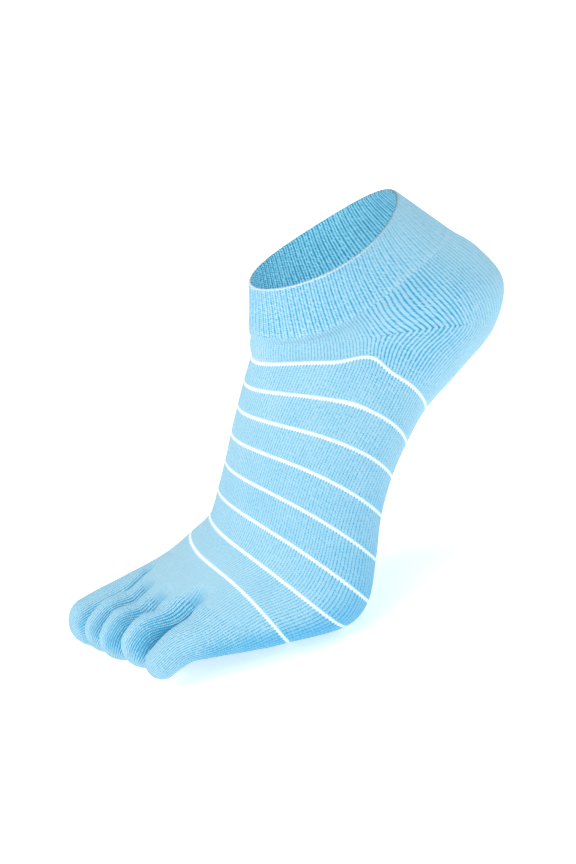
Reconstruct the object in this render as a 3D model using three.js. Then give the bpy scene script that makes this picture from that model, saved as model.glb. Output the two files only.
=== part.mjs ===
// Low toe sock for a left foot, filled out as if worn, heel raised.
// X runs from the toes to the heel, Y from the little toe side to the big toe side, Z is up.
import * as THREE from 'three';

// Driving sizes, millimetres.
const footLength = 250;
const ballWidth = 83;
const wall = 1.6;
const cuffWall = 2.0;
const seamGap = 0.4;
const toeGap = 0.8;
const rootFold = 3.6;
const webHollow = 0.5;

// Mesh fineness.
const roundColumns = 60;
const webColumns = 3;
const ringSamples = 240;
const cuffRows = 3;
const heelRows = 9;
const midRows = 5;
const foreRows = 5;
const rootRows = 2;
const toeRows = 6;
const tipRows = 4;

// Cross-sections of the knitted tube, from the edge of the cuff to the toe roots.
// topAhead, topUp, underAhead, underUp, sag and sagTilt are shares of footLength,
// halfWidth, middle and lean are shares of ballWidth, taper and square have no unit.
const sectionColumns = ['topAhead', 'topUp', 'underAhead', 'underUp', 'halfWidth', 'middle',
  'taper', 'lean', 'square', 'sag', 'sagTilt'];
const sections = [
  [-0.033, 0.610, -0.300, 0.693, 0.370, 0.506, 0.00, 0.000, 2.0, 0.016, -0.003],
  [-0.025, 0.571, -0.334, 0.669, 0.368, 0.506, 0.00, 0.000, 2.0, 0.017, 0.015],
  [-0.015, 0.533, -0.386, 0.610, 0.369, 0.506, 0.00, 0.000, 2.0, 0.013, 0.027],
  [-0.015, 0.521, -0.429, 0.565, 0.369, 0.506, 0.00, 0.000, 2.0, -0.002, 0.025],
  [-0.012, 0.509, -0.459, 0.499, 0.369, 0.506, 0.02, 0.000, 2.1, -0.020, 0.019],
  [-0.010, 0.499, -0.425, 0.423, 0.371, 0.506, 0.04, 0.000, 2.1, -0.038, 0.013],
  [-0.010, 0.491, -0.347, 0.364, 0.375, 0.506, 0.06, 0.000, 2.1, -0.056, 0.010],
  [-0.008, 0.483, -0.274, 0.315, 0.383, 0.506, 0.08, 0.000, 2.1, -0.067, 0.009],
  [0.013, 0.445, -0.226, 0.265, 0.396, 0.506, 0.10, 0.000, 2.1, -0.055, 0.009],
  [0.033, 0.405, -0.189, 0.216, 0.410, 0.506, 0.10, 0.000, 2.1, -0.041, 0.006],
  [0.054, 0.359, -0.157, 0.158, 0.425, 0.506, 0.10, 0.012, 2.1, -0.032, 0.000],
  [0.074, 0.308, -0.128, 0.089, 0.445, 0.506, 0.10, 0.036, 2.2, -0.026, 0.000],
  [0.096, 0.256, -0.098, 0.024, 0.470, 0.518, 0.12, 0.060, 2.2, -0.021, 0.000],
  [0.120, 0.206, -0.051, 0.001, 0.489, 0.524, 0.12, 0.072, 2.3, -0.010, -0.006],
  [0.162, 0.174, 0.056, 0.010, 0.500, 0.530, 0.12, 0.072, 2.4, -0.015, -0.010],
  [0.211, 0.150, 0.141, 0.015, 0.504, 0.532, 0.05, 0.024, 2.4, -0.017, -0.009],
  [0.262, 0.130, 0.212, 0.033, 0.504, 0.532, 0.00, 0.000, 2.4, -0.018, -0.006],
  [0.304, 0.120, 0.272, 0.041, 0.500, 0.530, 0.00, 0.000, 2.4, -0.020, -0.003],
];
// Section numbers where the pieces meet.
const cuffEnd = 2;
const heelEnd = 6.5;
const forefootStart = 10.5;
const rootStart = 14;
// Where the tube ends at the outer edge of the foot.
const outerEdgeEnd = 14.9;
// Columns from the outer edge to the sides of the heel pocket.
const heelSideColumns = 3;

// The toes from the little one to the big one. columns counts the tube's columns on the upper side,
// end is the section where the tube ends beside the toe, knuckle and tip are points of the toe's
// middle line: ahead is a share of footLength, aside, up, the widths and heights of ballWidth.
const toeColumns = ['name', 'columns', 'end', 'knuckleAhead', 'knuckleUp', 'tipAhead', 'tipAside',
  'tipUp', 'halfWidth', 'tipHalfWidth', 'halfHeight', 'tipHalfHeight'];
const toeTable = [
  ['toe_little', 7, 15.00, 0.212, 0.300, 0.280, 0.143, 0.157, 0.087, 0.085, 0.110, 0.086],
  ['toe_fourth', 5, 15.75, 0.262, 0.313, 0.291, 0.338, 0.195, 0.086, 0.085, 0.119, 0.131],
  ['toe_third', 5, 15.95, 0.297, 0.307, 0.320, 0.518, 0.186, 0.086, 0.085, 0.117, 0.129],
  ['toe_second', 5, 15.90, 0.289, 0.307, 0.338, 0.700, 0.170, 0.086, 0.087, 0.116, 0.130],
  ['toe_big', 8, 15.50, 0.278, 0.220, 0.356, 0.931, 0.140, 0.130, 0.127, 0.120, 0.138],
];
const toeSquare = 2.3;
const toeCap = 0.95;
const rootBlend = 0.6;
// The tube's end runs slantwise between the toes, so its gap along the cloth is longer.
const skewShare = 2;

const soft = {
  tube: { color: '#abd9ed', roughness: 0.95 },
  cuff: { color: '#8eccea', roughness: 0.95 },
  heel: { color: '#8ccae9', roughness: 0.95 },
  toe: { color: '#9bd2ec', roughness: 0.95 },
};

// Value between table rows on a smooth curve through them.
function smoothValue(a, b, c, d, t) {
  return 0.5 * (2 * b + (c - a) * t + (2 * a - 5 * b + 4 * c - d) * t * t
    + (3 * b - a - 3 * c + d) * t * t * t);
}

function sectionAt(station) {
  const last = sections.length - 1;
  const first = Math.min(Math.max(Math.floor(station), 0), last - 1);
  const before = sections[first - 1] ?? sections[first].map((v, k) => 2 * v - sections[first + 1][k]);
  const after = sections[first + 2] ?? sections[last].map((v, k) => 2 * v - sections[last - 1][k]);
  const values = sections[first].map((v, k) =>
    smoothValue(before[k], v, sections[first + 1][k], after[k], station - first));
  return Object.fromEntries(sectionColumns.map((name, k) => [name, values[k]]));
}

// Rounded power of a cosine or sine: a square of 2 gives an ellipse, more gives fuller corners.
function fuller(value, square) {
  return Math.sign(value) * Math.abs(value) ** (2 / square);
}

// Dense ring of one section; turn 0 is the outer edge, a quarter is the top, a half the inner edge.
function sectionRing(station) {
  const s = sectionAt(station);
  const top = new THREE.Vector2(s.topAhead, s.topUp).multiplyScalar(footLength);
  const under = new THREE.Vector2(s.underAhead, s.underUp).multiplyScalar(footLength);
  const middle = top.clone().add(under).multiplyScalar(0.5);
  const half = top.clone().sub(under).multiplyScalar(0.5);
  const toToes = new THREE.Vector2(half.y, -half.x).normalize();
  const ring = [];
  for (let k = 0; k <= ringSamples; k += 1) {
    const turn = 2 * Math.PI * k / ringSamples;
    const rise = fuller(Math.sin(turn), s.square);
    const side = fuller(-Math.cos(turn), s.square);
    const sag = side * side * (s.sag + s.sagTilt * rise) * footLength;
    const aside = ballWidth * (s.middle + s.halfWidth * side * (1 - s.taper * rise) + s.lean * rise);
    const ahead = middle.x + half.x * rise + toToes.x * sag;
    const up = middle.y + half.y * rise + toToes.y * sag;
    ring.push(new THREE.Vector3(-ahead, aside, up));
  }
  return ring;
}

// Point at a share of the way around a dense ring, equal lengths apart on each side of the
// samples that lie at a quarter and at three quarters.
function evenPoint(ring, share) {
  const run = [0];
  for (let k = 1; k < ring.length; k += 1) run.push(run[k - 1] + ring[k].distanceTo(ring[k - 1]));
  const around = run[run.length - 1];
  const quarter = (ring.length - 1) / 4;
  const start = run[quarter];
  const far = run[3 * quarter];
  const turn = ((share - 0.25) % 1 + 1) % 1;
  const inner = start + 2 * turn * (far - start);
  const outer = far + (2 * turn - 1) * (around - far + start);
  const wanted = (turn < 0.5 ? inner : outer) % around;
  let k = 1;
  while (run[k] < wanted) k += 1;
  return ring[k - 1].clone().lerp(ring[k], (wanted - run[k - 1]) / (run[k] - run[k - 1]));
}

function smoothStep(value) {
  const t = Math.min(Math.max(value, 0), 1);
  return t * t * (3 - 2 * t);
}

// Upper columns of the webs between neighbouring toes.
const webs = [];
for (const row of toeTable.slice(0, -1)) webs.push((webs[webs.length - 1] ?? 0) + row[1]);

// How deep the folds between the toe roots are at a column, 0 to 1.
function foldAt(column) {
  const mirrored = Math.min(column, roundColumns - column);
  return Math.max(...webs.map((web) => Math.exp(-(((mirrored - web) / 1.1) ** 2))));
}

// Outer face of the tube at a section number and a column, columns counted from the outer edge.
function tubePoint(station, column) {
  const share = column / roundColumns;
  const point = evenPoint(sectionRing(station), share);
  const depth = rootFold * smoothStep((station - rootStart + 0.2) / 1.8) * foldAt(column);
  point.z -= depth * Math.sign(roundColumns / 2 - column);
  return point;
}

function wrapped(column) {
  return (column + roundColumns) % roundColumns;
}

// Outward direction of the tube's face, from its two running directions.
function tubeNormal(station, column) {
  const step = 0.05;
  const along = tubePoint(station + step, column).sub(tubePoint(station - step, column));
  const round = tubePoint(station, wrapped(column + step)).sub(tubePoint(station, wrapped(column - step)));
  return round.cross(along).normalize();
}

// Where the tube ends at a column: the same above and below the web of two toes.
function tubeEnd(column) {
  const mirrored = Math.min(column, roundColumns - column);
  const stops = [[0, outerEdgeEnd]];
  toeTable.forEach((row, k) => stops.push([webs[k] ?? roundColumns / 2, row[2]]));
  const next = stops.findIndex(([at]) => at >= mirrored && at > 0);
  const [fromAt, fromEnd] = stops[next - 1];
  const [toAt, toEnd] = stops[next];
  return fromEnd + (toEnd - fromEnd) * smoothStep((mirrored - fromAt) / (toAt - fromAt));
}

// Closed shell from a grid of outer points and one of inner points.
// keep(row, column) tells which cells are cloth; the grid may be closed around and at its last row.
function shell(outer, inner, isRound, isClosedAtEnd, keep) {
  const rows = outer.length;
  const columns = outer[0].length;
  const positions = [];
  const triangles = [];
  const known = new Map();
  const vertex = (layer, row, column) => {
    const place = isClosedAtEnd && row === rows - 1 ? 0 : column % columns;
    const key = `${layer} ${row} ${place}`;
    if (!known.has(key)) {
      known.set(key, positions.length / 3);
      positions.push(...(layer === 0 ? outer : inner)[row][place].toArray());
    }
    return known.get(key);
  };
  const face = (a, b, c, d) => {
    for (const [p, q, r] of [[a, b, c], [a, c, d]]) {
      if (p !== q && q !== r && r !== p) triangles.push(p, q, r);
    }
  };
  const cellColumns = isRound ? columns : columns - 1;
  const isCloth = (row, column) => {
    const place = isRound ? (column + columns) % columns : column;
    return row >= 0 && row < rows - 1 && place >= 0 && place < cellColumns && keep(row, place);
  };
  for (let row = 0; row < rows - 1; row += 1) {
    for (let column = 0; column < cellColumns; column += 1) {
      if (!isCloth(row, column)) continue;
      const corners = [[row, column], [row, column + 1], [row + 1, column + 1], [row + 1, column]];
      const [a, b, c, d] = corners.map(([i, j]) => vertex(0, i, j));
      const [e, f, g, h] = corners.map(([i, j]) => vertex(1, i, j));
      face(a, b, c, d);
      face(h, g, f, e);
      if (!isCloth(row - 1, column)) face(b, a, e, f);
      if (!isCloth(row + 1, column) && c !== d) face(d, c, g, h);
      if (!isCloth(row, column - 1)) face(a, d, h, e);
      if (!isCloth(row, column + 1)) face(c, b, f, g);
    }
  }
  const geometry = new THREE.BufferGeometry();
  geometry.setAttribute('position', new THREE.Float32BufferAttribute(positions, 3));
  geometry.setIndex(triangles);
  geometry.computeVertexNormals();
  return geometry;
}

// Grids of the tube's outer and inner faces over lists of section numbers and columns.
function tubeGrids(stationLists, columns, thickness) {
  const outer = stationLists.map((stationOf) =>
    columns.map((column) => tubePoint(stationOf(column), column)));
  const inner = stationLists.map((stationOf, row) => columns.map((column, k) =>
    outer[row][k].clone().addScaledVector(tubeNormal(stationOf(column), column), -thickness)));
  return [outer, inner];
}

function spread(from, to, count) {
  return Array.from({ length: count + 1 }, (_, k) => from + (to - from) * k / count);
}

function makePiece(name, geometry, material) {
  const piece = new THREE.Mesh(geometry, new THREE.MeshStandardMaterial({ metalness: 0, ...material }));
  piece.name = name;
  return piece;
}

// Rows of section numbers from one line around the tube to another, as functions of the column.
function rowsBetween(from, toOf, count) {
  return Array.from({ length: count + 1 }, (_, k) => (column) => from + (toOf(column) - from) * k / count);
}

// The line around the tube that keeps a seam gap before a section number.
function gapBefore(station) {
  return (column) => {
    const halfStep = tubePoint(station, column).distanceTo(tubePoint(station - 0.5, column));
    return station - seamGap / (halfStep / 0.5);
  };
}

const allColumns = spread(0, roundColumns - 1, roundColumns - 1);
const heelFrom = roundColumns / 2 + heelSideColumns;
const heelTo = roundColumns - heelSideColumns;
const columnWidth = tubePoint(heelEnd, heelTo).distanceTo(tubePoint(heelEnd, heelTo - 1));

// A ring of the tube's cloth over rows of section numbers, whole or in part.
function makeRing(name, rows, thickness, material, isCloth = () => true) {
  const [outer, inner] = tubeGrids(rows, allColumns, thickness);
  return makePiece(name, shell(outer, inner, true, false, isCloth), material);
}

function makeCuff() {
  return makeRing('cuff', rowsBetween(0, gapBefore(cuffEnd), cuffRows), cuffWall, soft.cuff);
}

function makeInstep() {
  const isFront = (row, column) => column < heelFrom || column >= heelTo;
  return makeRing('instep', rowsBetween(cuffEnd, gapBefore(heelEnd), heelRows), wall, soft.tube, isFront);
}

function makeMidfoot() {
  return makeRing('midfoot', rowsBetween(heelEnd, gapBefore(forefootStart), midRows), wall, soft.tube);
}

function makeForefoot() {
  const rows = rowsBetween(forefootStart, () => rootStart, foreRows);
  return makeRing('forefoot', [...rows, ...rowsBetween(rootStart, tubeEnd, rootRows).slice(1)], wall, soft.tube);
}

function makeHeelPocket() {
  const columns = spread(heelFrom, heelTo, heelTo - heelFrom);
  columns[0] += seamGap / columnWidth;
  columns[columns.length - 1] -= seamGap / columnWidth;
  const [outer, inner] = tubeGrids(rowsBetween(cuffEnd, gapBefore(heelEnd), heelRows), columns, wall);
  return makePiece('heel_pocket', shell(outer, inner, false, false, () => true), soft.heel);
}

// Base ring of a toe: along the tube's upper edge, down the web, back along the under edge and up
// the other web. Each point keeps the way in which the tube's cloth runs into the toe, and the way
// through the cloth to its inner face.
function toeBase(from, to) {
  const half = roundColumns / 2;
  const hasOuterWeb = from > 0;
  const hasInnerWeb = to < half;
  const cornerShift = toeGap / 2 / tubePoint(rootStart, 0).distanceTo(tubePoint(rootStart, 1));
  const skewGap = seamGap * skewShare;
  const points = [];
  const onTube = (wholeColumn, aside) => {
    const column = wholeColumn + aside * cornerShift * Math.sign(half - wholeColumn);
    const end = tubeEnd(column);
    const run = tubePoint(end + 0.1, column).sub(tubePoint(end - 0.1, column)).normalize();
    const at = tubePoint(end, column).addScaledVector(run, skewGap);
    const through = tubeNormal(end, column).negate();
    through.y += aside;
    points.push({ at, run, through });
  };
  const onWeb = (column, isDown, aside) => {
    const ends = [column, roundColumns - column].map((c) => tubePoint(tubeEnd(c), c));
    const [start, stop] = isDown ? ends : ends.reverse();
    for (let k = 1; k < webColumns; k += 1) {
      const at = start.clone().lerp(stop, k / webColumns);
      at.x += webHollow * Math.sin(Math.PI * k / webColumns) ** 2 - skewGap;
      at.y += aside * toeGap / 2;
      points.push({ at, run: new THREE.Vector3(-1, 0, 0), through: new THREE.Vector3(0, aside, 0) });
    }
  };
  const asideOf = (column) => {
    if (hasOuterWeb && Math.min(column, roundColumns - column) === from) return 1;
    return hasInnerWeb && Math.min(column, roundColumns - column) === to ? -1 : 0;
  };
  for (let column = from; column <= to; column += 1) onTube(column, asideOf(column));
  if (hasInnerWeb) {
    onWeb(to, true, -1);
    onTube(roundColumns - to, -1);
  }
  for (let column = roundColumns - to + 1; column <= roundColumns - from; column += 1) {
    if (column < roundColumns) onTube(column, asideOf(column));
  }
  if (hasOuterWeb) onWeb(from, false, 1);
  return points;
}

function makeToe(row, from) {
  const toe = Object.fromEntries(toeColumns.map((name, k) => [name, row[k]]));
  const to = from + toe.columns;
  const base = toeBase(from, to);
  const count = base.length;
  const root = base.reduce((sum, { at }) => sum.add(at), new THREE.Vector3()).divideScalar(count);
  const tip = new THREE.Vector3(-toe.tipAhead * footLength, toe.tipAside * ballWidth, toe.tipUp * ballWidth);
  const knuckle = new THREE.Vector3(-toe.knuckleAhead * footLength, (root.y + tip.y) / 2,
    toe.knuckleUp * ballWidth);
  const line = new THREE.QuadraticBezierCurve3(root, knuckle, tip);
  // The middle of a web lies a quarter turn from the top of the toe.
  const webMiddle = to < roundColumns / 2 ? toe.columns + webColumns / 2 : count - webColumns / 2;
  const quarterTurn = to < roundColumns / 2 ? -count / 4 : count / 4;
  const topIndex = (webMiddle + quarterTurn) % count;
  const ringAt = (middle, along, halfWidth, halfHeight) => {
    const side = new THREE.Vector3(0, 0, -1).cross(along).normalize();
    const up = along.clone().cross(side).negate();
    const dense = [];
    for (let k = 0; k <= ringSamples; k += 1) {
      const turn = 2 * Math.PI * k / ringSamples;
      dense.push(middle.clone()
        .addScaledVector(side, -halfWidth * fuller(Math.cos(turn), toeSquare))
        .addScaledVector(up, halfHeight * fuller(Math.sin(turn), toeSquare)));
    }
    return base.map((_, k) => evenPoint(dense, 0.25 + (k - topIndex) / count));
  };
  const outer = [];
  const startWay = line.getTangent(0);
  for (let k = 0; k <= toeRows; k += 1) {
    const t = k / toeRows;
    const middle = line.getPoint(t);
    const past = 2 * Math.max(t - 0.5, 0);
    const tube = ringAt(middle, line.getTangent(t),
      ballWidth * (toe.halfWidth + (toe.tipHalfWidth - toe.halfWidth) * past),
      ballWidth * (toe.halfHeight + (toe.tipHalfHeight - toe.halfHeight) * past));
    const share = smoothStep(t / rootBlend);
    const gone = middle.clone().sub(root);
    outer.push(base.map(({ at, run }, j) => {
      const carried = at.clone().add(gone).addScaledVector(run.clone().sub(startWay), gone.length());
      return carried.lerp(tube[j], share);
    }));
  }
  const endWay = line.getTangent(1);
  const capLength = toeCap * toe.tipHalfHeight * ballWidth;
  for (let k = 1; k <= tipRows; k += 1) {
    const bend = Math.PI / 2 * k / tipRows;
    const middle = tip.clone().addScaledVector(endWay, capLength * Math.sin(bend));
    const narrow = ballWidth * Math.cos(bend);
    const isPoint = k === tipRows;
    outer.push(isPoint ? base.map(() => middle.clone())
      : ringAt(middle, endWay, toe.tipHalfWidth * narrow, toe.tipHalfHeight * narrow));
  }
  const inner = outer.map((ring, k) => ring.map((point, j) => {
    if (k === 0) return point.clone().addScaledVector(base[j].through, wall);
    const round = ring[(j + 1) % count].clone().sub(ring[(j + count - 1) % count]);
    const along = outer[Math.min(k + 1, outer.length - 1)][j].clone().sub(outer[Math.max(k - 1, 0)][j]);
    const out = k === outer.length - 1 ? endWay.clone() : round.cross(along).normalize();
    return point.clone().addScaledVector(out, -wall);
  }));
  return makePiece(toe.name, shell(outer, inner, true, true, () => true), soft.toe);
}

const sock = new THREE.Group();
sock.name = 'toe_sock';
sock.add(makeCuff(), makeInstep(), makeHeelPocket(), makeMidfoot(), makeForefoot());
toeTable.forEach((row, k) => sock.add(makeToe(row, webs[k - 1] ?? 0)));

// The origin is the middle of the ankle opening.
const rim = allColumns.map((column) => tubePoint(0, column));
const opening = rim.reduce((sum, point) => sum.add(point), new THREE.Vector3()).divideScalar(rim.length);
for (const piece of sock.children) piece.geometry.translate(-opening.x, -opening.y, -opening.z);

export default sock;
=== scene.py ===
import math

import bpy
import numpy as np
from mathutils import Matrix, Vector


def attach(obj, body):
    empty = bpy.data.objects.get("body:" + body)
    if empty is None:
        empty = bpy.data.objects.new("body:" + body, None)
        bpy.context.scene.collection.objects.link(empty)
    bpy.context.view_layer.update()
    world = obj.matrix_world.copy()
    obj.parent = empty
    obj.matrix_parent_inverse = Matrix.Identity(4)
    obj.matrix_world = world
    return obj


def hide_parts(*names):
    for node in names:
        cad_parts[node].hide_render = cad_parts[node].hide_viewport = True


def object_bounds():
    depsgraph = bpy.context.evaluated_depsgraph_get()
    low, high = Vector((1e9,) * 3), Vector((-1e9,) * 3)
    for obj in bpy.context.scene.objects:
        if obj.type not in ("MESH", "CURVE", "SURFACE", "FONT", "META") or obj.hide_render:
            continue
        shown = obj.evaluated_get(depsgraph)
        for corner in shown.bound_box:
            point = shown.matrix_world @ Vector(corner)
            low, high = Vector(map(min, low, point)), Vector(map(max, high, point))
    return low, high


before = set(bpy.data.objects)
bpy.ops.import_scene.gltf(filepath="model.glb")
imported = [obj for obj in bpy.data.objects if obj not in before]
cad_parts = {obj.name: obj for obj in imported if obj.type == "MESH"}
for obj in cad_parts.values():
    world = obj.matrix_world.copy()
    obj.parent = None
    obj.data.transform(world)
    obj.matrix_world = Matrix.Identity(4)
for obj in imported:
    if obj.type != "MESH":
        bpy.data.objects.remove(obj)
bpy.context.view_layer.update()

# The sock in metres, in the frame of the model: X from the toes to the heel, Y from the little toe
# side to the big toe side, Z up, and the origin in the middle of the ankle opening. Places around
# the cloth are wales of a coarse net: 0 at the little toe's edge, then over the upper side to the
# big toe's edge at half of them, and back along the sole. Places along it are section numbers.
sock = {
    "footLength": 0.250,
    "ballWidth": 0.083,
    "wall": 0.0016,
    "cuffWall": 0.0020,
    "rootFold": 0.0056,
    "foldSections": 0.6,
    "foldWales": 3.3,
    "webHollow": 0.0005,
    "wales": 180,
    "webWales": 9,
}

# Cross-sections from the edge of the cuff to the toe roots. A row holds topAhead, topUp,
# underAhead and underUp as shares of footLength, halfWidth and centre as shares of ballWidth,
# taper, lean as a share of ballWidth, square, and sag and sagTilt as shares of footLength.
sections = np.array([
    [-0.033, 0.610, -0.306, 0.701, 0.370, 0.506, 0.00, 0.000, 2.0, 0.016, -0.003],
    [-0.025, 0.571, -0.334, 0.669, 0.368, 0.506, 0.00, 0.000, 2.0, 0.017, 0.015],
    [-0.015, 0.533, -0.386, 0.610, 0.369, 0.506, 0.00, 0.000, 2.0, 0.013, 0.027],
    [-0.015, 0.521, -0.429, 0.565, 0.369, 0.506, 0.00, 0.000, 2.0, -0.002, 0.025],
    [-0.012, 0.509, -0.459, 0.499, 0.369, 0.506, 0.02, 0.000, 2.1, -0.020, 0.019],
    [-0.010, 0.499, -0.425, 0.423, 0.371, 0.506, 0.04, 0.000, 2.1, -0.038, 0.013],
    [-0.010, 0.491, -0.347, 0.364, 0.375, 0.506, 0.06, 0.000, 2.1, -0.056, 0.010],
    [-0.008, 0.483, -0.274, 0.315, 0.383, 0.506, 0.08, 0.000, 2.1, -0.067, 0.009],
    [0.013, 0.445, -0.226, 0.265, 0.396, 0.506, 0.10, 0.000, 2.1, -0.055, 0.009],
    [0.033, 0.405, -0.189, 0.216, 0.410, 0.506, 0.10, 0.000, 2.1, -0.041, 0.006],
    [0.054, 0.359, -0.157, 0.158, 0.425, 0.506, 0.10, 0.012, 2.1, -0.032, 0.000],
    [0.074, 0.308, -0.128, 0.089, 0.445, 0.506, 0.10, 0.036, 2.2, -0.026, 0.000],
    [0.096, 0.256, -0.098, 0.024, 0.470, 0.518, 0.12, 0.060, 2.2, -0.021, 0.000],
    [0.120, 0.206, -0.051, 0.001, 0.489, 0.524, 0.12, 0.072, 2.3, -0.010, -0.006],
    [0.162, 0.174, 0.056, 0.010, 0.500, 0.530, 0.12, 0.072, 2.4, -0.015, -0.010],
    [0.211, 0.150, 0.141, 0.011, 0.504, 0.532, 0.05, 0.024, 2.4, -0.017, -0.009],
    [0.262, 0.130, 0.212, 0.027, 0.504, 0.532, 0.00, 0.000, 2.4, -0.018, -0.006],
    [0.304, 0.120, 0.272, 0.041, 0.500, 0.530, 0.00, 0.000, 2.4, -0.020, -0.003],
])
cuffEnd = 2.0
heelEnd = 6.5
rootStart = 14.0
outerEdgeEnd = 14.85
heelSideWales = 9
heelFrom = sock["wales"] // 2 + heelSideWales
heelTo = sock["wales"] - heelSideWales
stripeStations = np.arange(7, 15)

# The toes from the little one to the big one: wales on the upper side, section number where the
# tube ends beside the toe, then knuckle and tip as shares of footLength ahead and of ballWidth.
toeColumns = ["name", "wales", "end", "knuckleAhead", "knuckleUp", "tipAhead", "tipAside",
              "tipUp", "halfWidth", "tipHalfWidth", "halfHeight", "tipHalfHeight"]
toeTable = [dict(zip(toeColumns, row)) for row in [
    ["toe_little", 21, 15.05, 0.212, 0.300, 0.279, 0.143, 0.166, 0.087, 0.085, 0.110, 0.086],
    ["toe_fourth", 15, 15.85, 0.262, 0.313, 0.291, 0.338, 0.195, 0.086, 0.085, 0.119, 0.131],
    ["toe_third", 15, 16.05, 0.297, 0.307, 0.320, 0.518, 0.186, 0.086, 0.085, 0.117, 0.129],
    ["toe_second", 15, 15.90, 0.289, 0.307, 0.338, 0.700, 0.170, 0.086, 0.087, 0.116, 0.130],
    ["toe_big", 24, 15.50, 0.278, 0.220, 0.356, 0.931, 0.140, 0.130, 0.127, 0.120, 0.138],
]]
webs = np.cumsum([toe["wales"] for toe in toeTable])[:-1]
ringSamples = 720


# Smooth step of a value: 3 v squared minus 2 v cubed, held between 0 and 1.
def smoothStep(value):
    v = np.clip(value, 0, 1)
    return v * v * (3 - 2 * v)


# Smooth step over a change, given as its start and its reach: 0 at the start and 1 at start plus
# reach. With a negative reach it is 1 for the lower values.
def eased(value, change):
    start, reach = change
    return smoothStep((value - start) / reach)


# Table rows at fractional row numbers, on the cubic through the four rows around each number.
def rowsAt(table, number):
    number = np.asarray(number, float)
    last = len(table) - 1
    wide = np.vstack([2 * table[0] - table[1], table, 2 * table[last] - table[last - 1]])
    first = np.clip(np.floor(number).astype(int), 0, last - 1)
    t = (number - first)[..., None]
    a, b, c, d = (wide[first + k] for k in range(4))
    return 0.5 * (2 * b + (c - a) * t + (2 * a - 5 * b + 4 * c - d) * t ** 2
                  + (3 * b - a - 3 * c + d) * t ** 3)


# Rounded power of a sine or cosine, sign(v) |v| ^ (2 / square).
def fuller(value, square):
    return np.sign(value) * np.abs(value) ** (2 / square)


# Dense rings of sections: around each, side = -cos and rise = sin of the turn, both made fuller,
# place a point across the line from the top point to the under point. The sides sag along the
# foot by side squared.
def sectionRings(stations):
    (topAhead, topUp, underAhead, underUp, halfWidth, centre, taper, lean, square, sag,
     sagTilt) = np.moveaxis(rowsAt(sections, stations), -1, 0)[..., None]
    turn = np.linspace(0, 2 * np.pi, ringSamples + 1)[None, :]
    length, width = sock["footLength"], sock["ballWidth"]
    rise = fuller(np.sin(turn), square)
    side = fuller(-np.cos(turn), square)
    halfAhead = (topAhead - underAhead) / 2 * length
    halfUp = (topUp - underUp) / 2 * length
    reach = np.hypot(halfAhead, halfUp)
    bulge = side ** 2 * (sag + sagTilt * rise) * length
    ahead = (topAhead + underAhead) / 2 * length + halfAhead * rise + halfUp / reach * bulge
    up = (topUp + underUp) / 2 * length + halfUp * rise - halfAhead / reach * bulge
    aside = width * (centre + halfWidth * side * (1 - taper * rise) + lean * rise)
    return np.stack([-ahead, aside, up], -1)


# Points at shares of the way around closed dense rings, evenly spaced along each side of the
# samples at a quarter and at three quarters.
def evenAround(rings, shares):
    samples = rings.shape[1] - 1
    turn = (np.asarray(shares) - 0.25) % 1
    points = np.empty((len(rings), len(turn), 3))
    for k, ring in enumerate(rings):
        run = np.r_[0, np.cumsum(np.linalg.norm(np.diff(ring, axis=0), axis=1))]
        start, far, around = run[samples // 4], run[3 * samples // 4], run[-1]
        inner = start + 2 * turn * (far - start)
        outer = far + (2 * turn - 1) * (around - far + start)
        wanted = np.where(turn < 0.5, inner, outer) % around
        points[k] = np.stack([np.interp(wanted, run, ring[:, axis]) for axis in range(3)], -1)
    return points


# Section number where the tube ends at a wale, eased between the webs.
def tubeEnd(wale):
    mirrored = np.minimum(wale, sock["wales"] - wale)
    places = np.r_[0, webs, sock["wales"] / 2]
    ends = np.r_[outerEdgeEnd, [toe["end"] for toe in toeTable]]
    nextOne = np.clip(np.searchsorted(places, mirrored), 1, len(places) - 1)
    share = (mirrored - places[nextOne - 1]) / (places[nextOne] - places[nextOne - 1])
    return ends[nextOne - 1] + (ends[nextOne] - ends[nextOne - 1]) * smoothStep(share)


# Depth of the folds between the toe roots, the largest of the bell curves around each web.
def foldAt(wale):
    mirrored = np.minimum(wale, sock["wales"] - wale)
    bells = [np.exp(-((mirrored - web) / sock["foldWales"]) ** 2) for web in webs]
    return np.max(bells, axis=0)


netStep = 0.05
netFineness = 4
netStations = np.arange(0, len(sections) - 1 + netStep / 2, netStep)
netWales = np.arange(sock["wales"] * netFineness) / netFineness


# The whole tube as a dense net of points over section numbers and wales.
def makeNet():
    points = evenAround(sectionRings(netStations), netWales / sock["wales"])
    before = tubeEnd(netWales)[None, :] - netStations[:, None]
    depth = sock["rootFold"] * smoothStep(1 - before / sock["foldSections"])
    above = np.sign(sock["wales"] / 2 - netWales)
    points[..., 2] -= depth * (foldAt(netWales) * above)[None, :]
    return points


net = makeNet()
opening = net[0].mean(axis=0)
net -= opening


# Any field on the net at section numbers and wales, between the four nearest net points.
def onNet(field, station, wale):
    justBeforeEnd = len(netStations) - 1.001
    row = np.clip(np.asarray(station, float) / netStep, 0, justBeforeEnd)
    column = (np.asarray(wale, float) % sock["wales"]) * netFineness
    i = np.floor(row).astype(int)
    j = np.floor(column).astype(int)
    t = (row - i)[..., None]
    s = (column - j)[..., None]
    count = len(netWales)
    low = field[i, j % count] * (1 - s) + field[i, (j + 1) % count] * s
    high = field[i + 1, j % count] * (1 - s) + field[i + 1, (j + 1) % count] * s
    return low * (1 - t) + high * t


# Unit normals of a net of points, round direction crossed with the direction along.
def normalsOf(points, isRound):
    along = np.gradient(points, axis=0)
    if isRound:
        around = np.roll(points, -1, axis=1) - np.roll(points, 1, axis=1)
    else:
        around = np.gradient(points, axis=1)
    normals = np.cross(around, along)
    return normals / np.maximum(np.linalg.norm(normals, axis=-1, keepdims=True), 1e-12)


netNormals = normalsOf(net, True)

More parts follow.
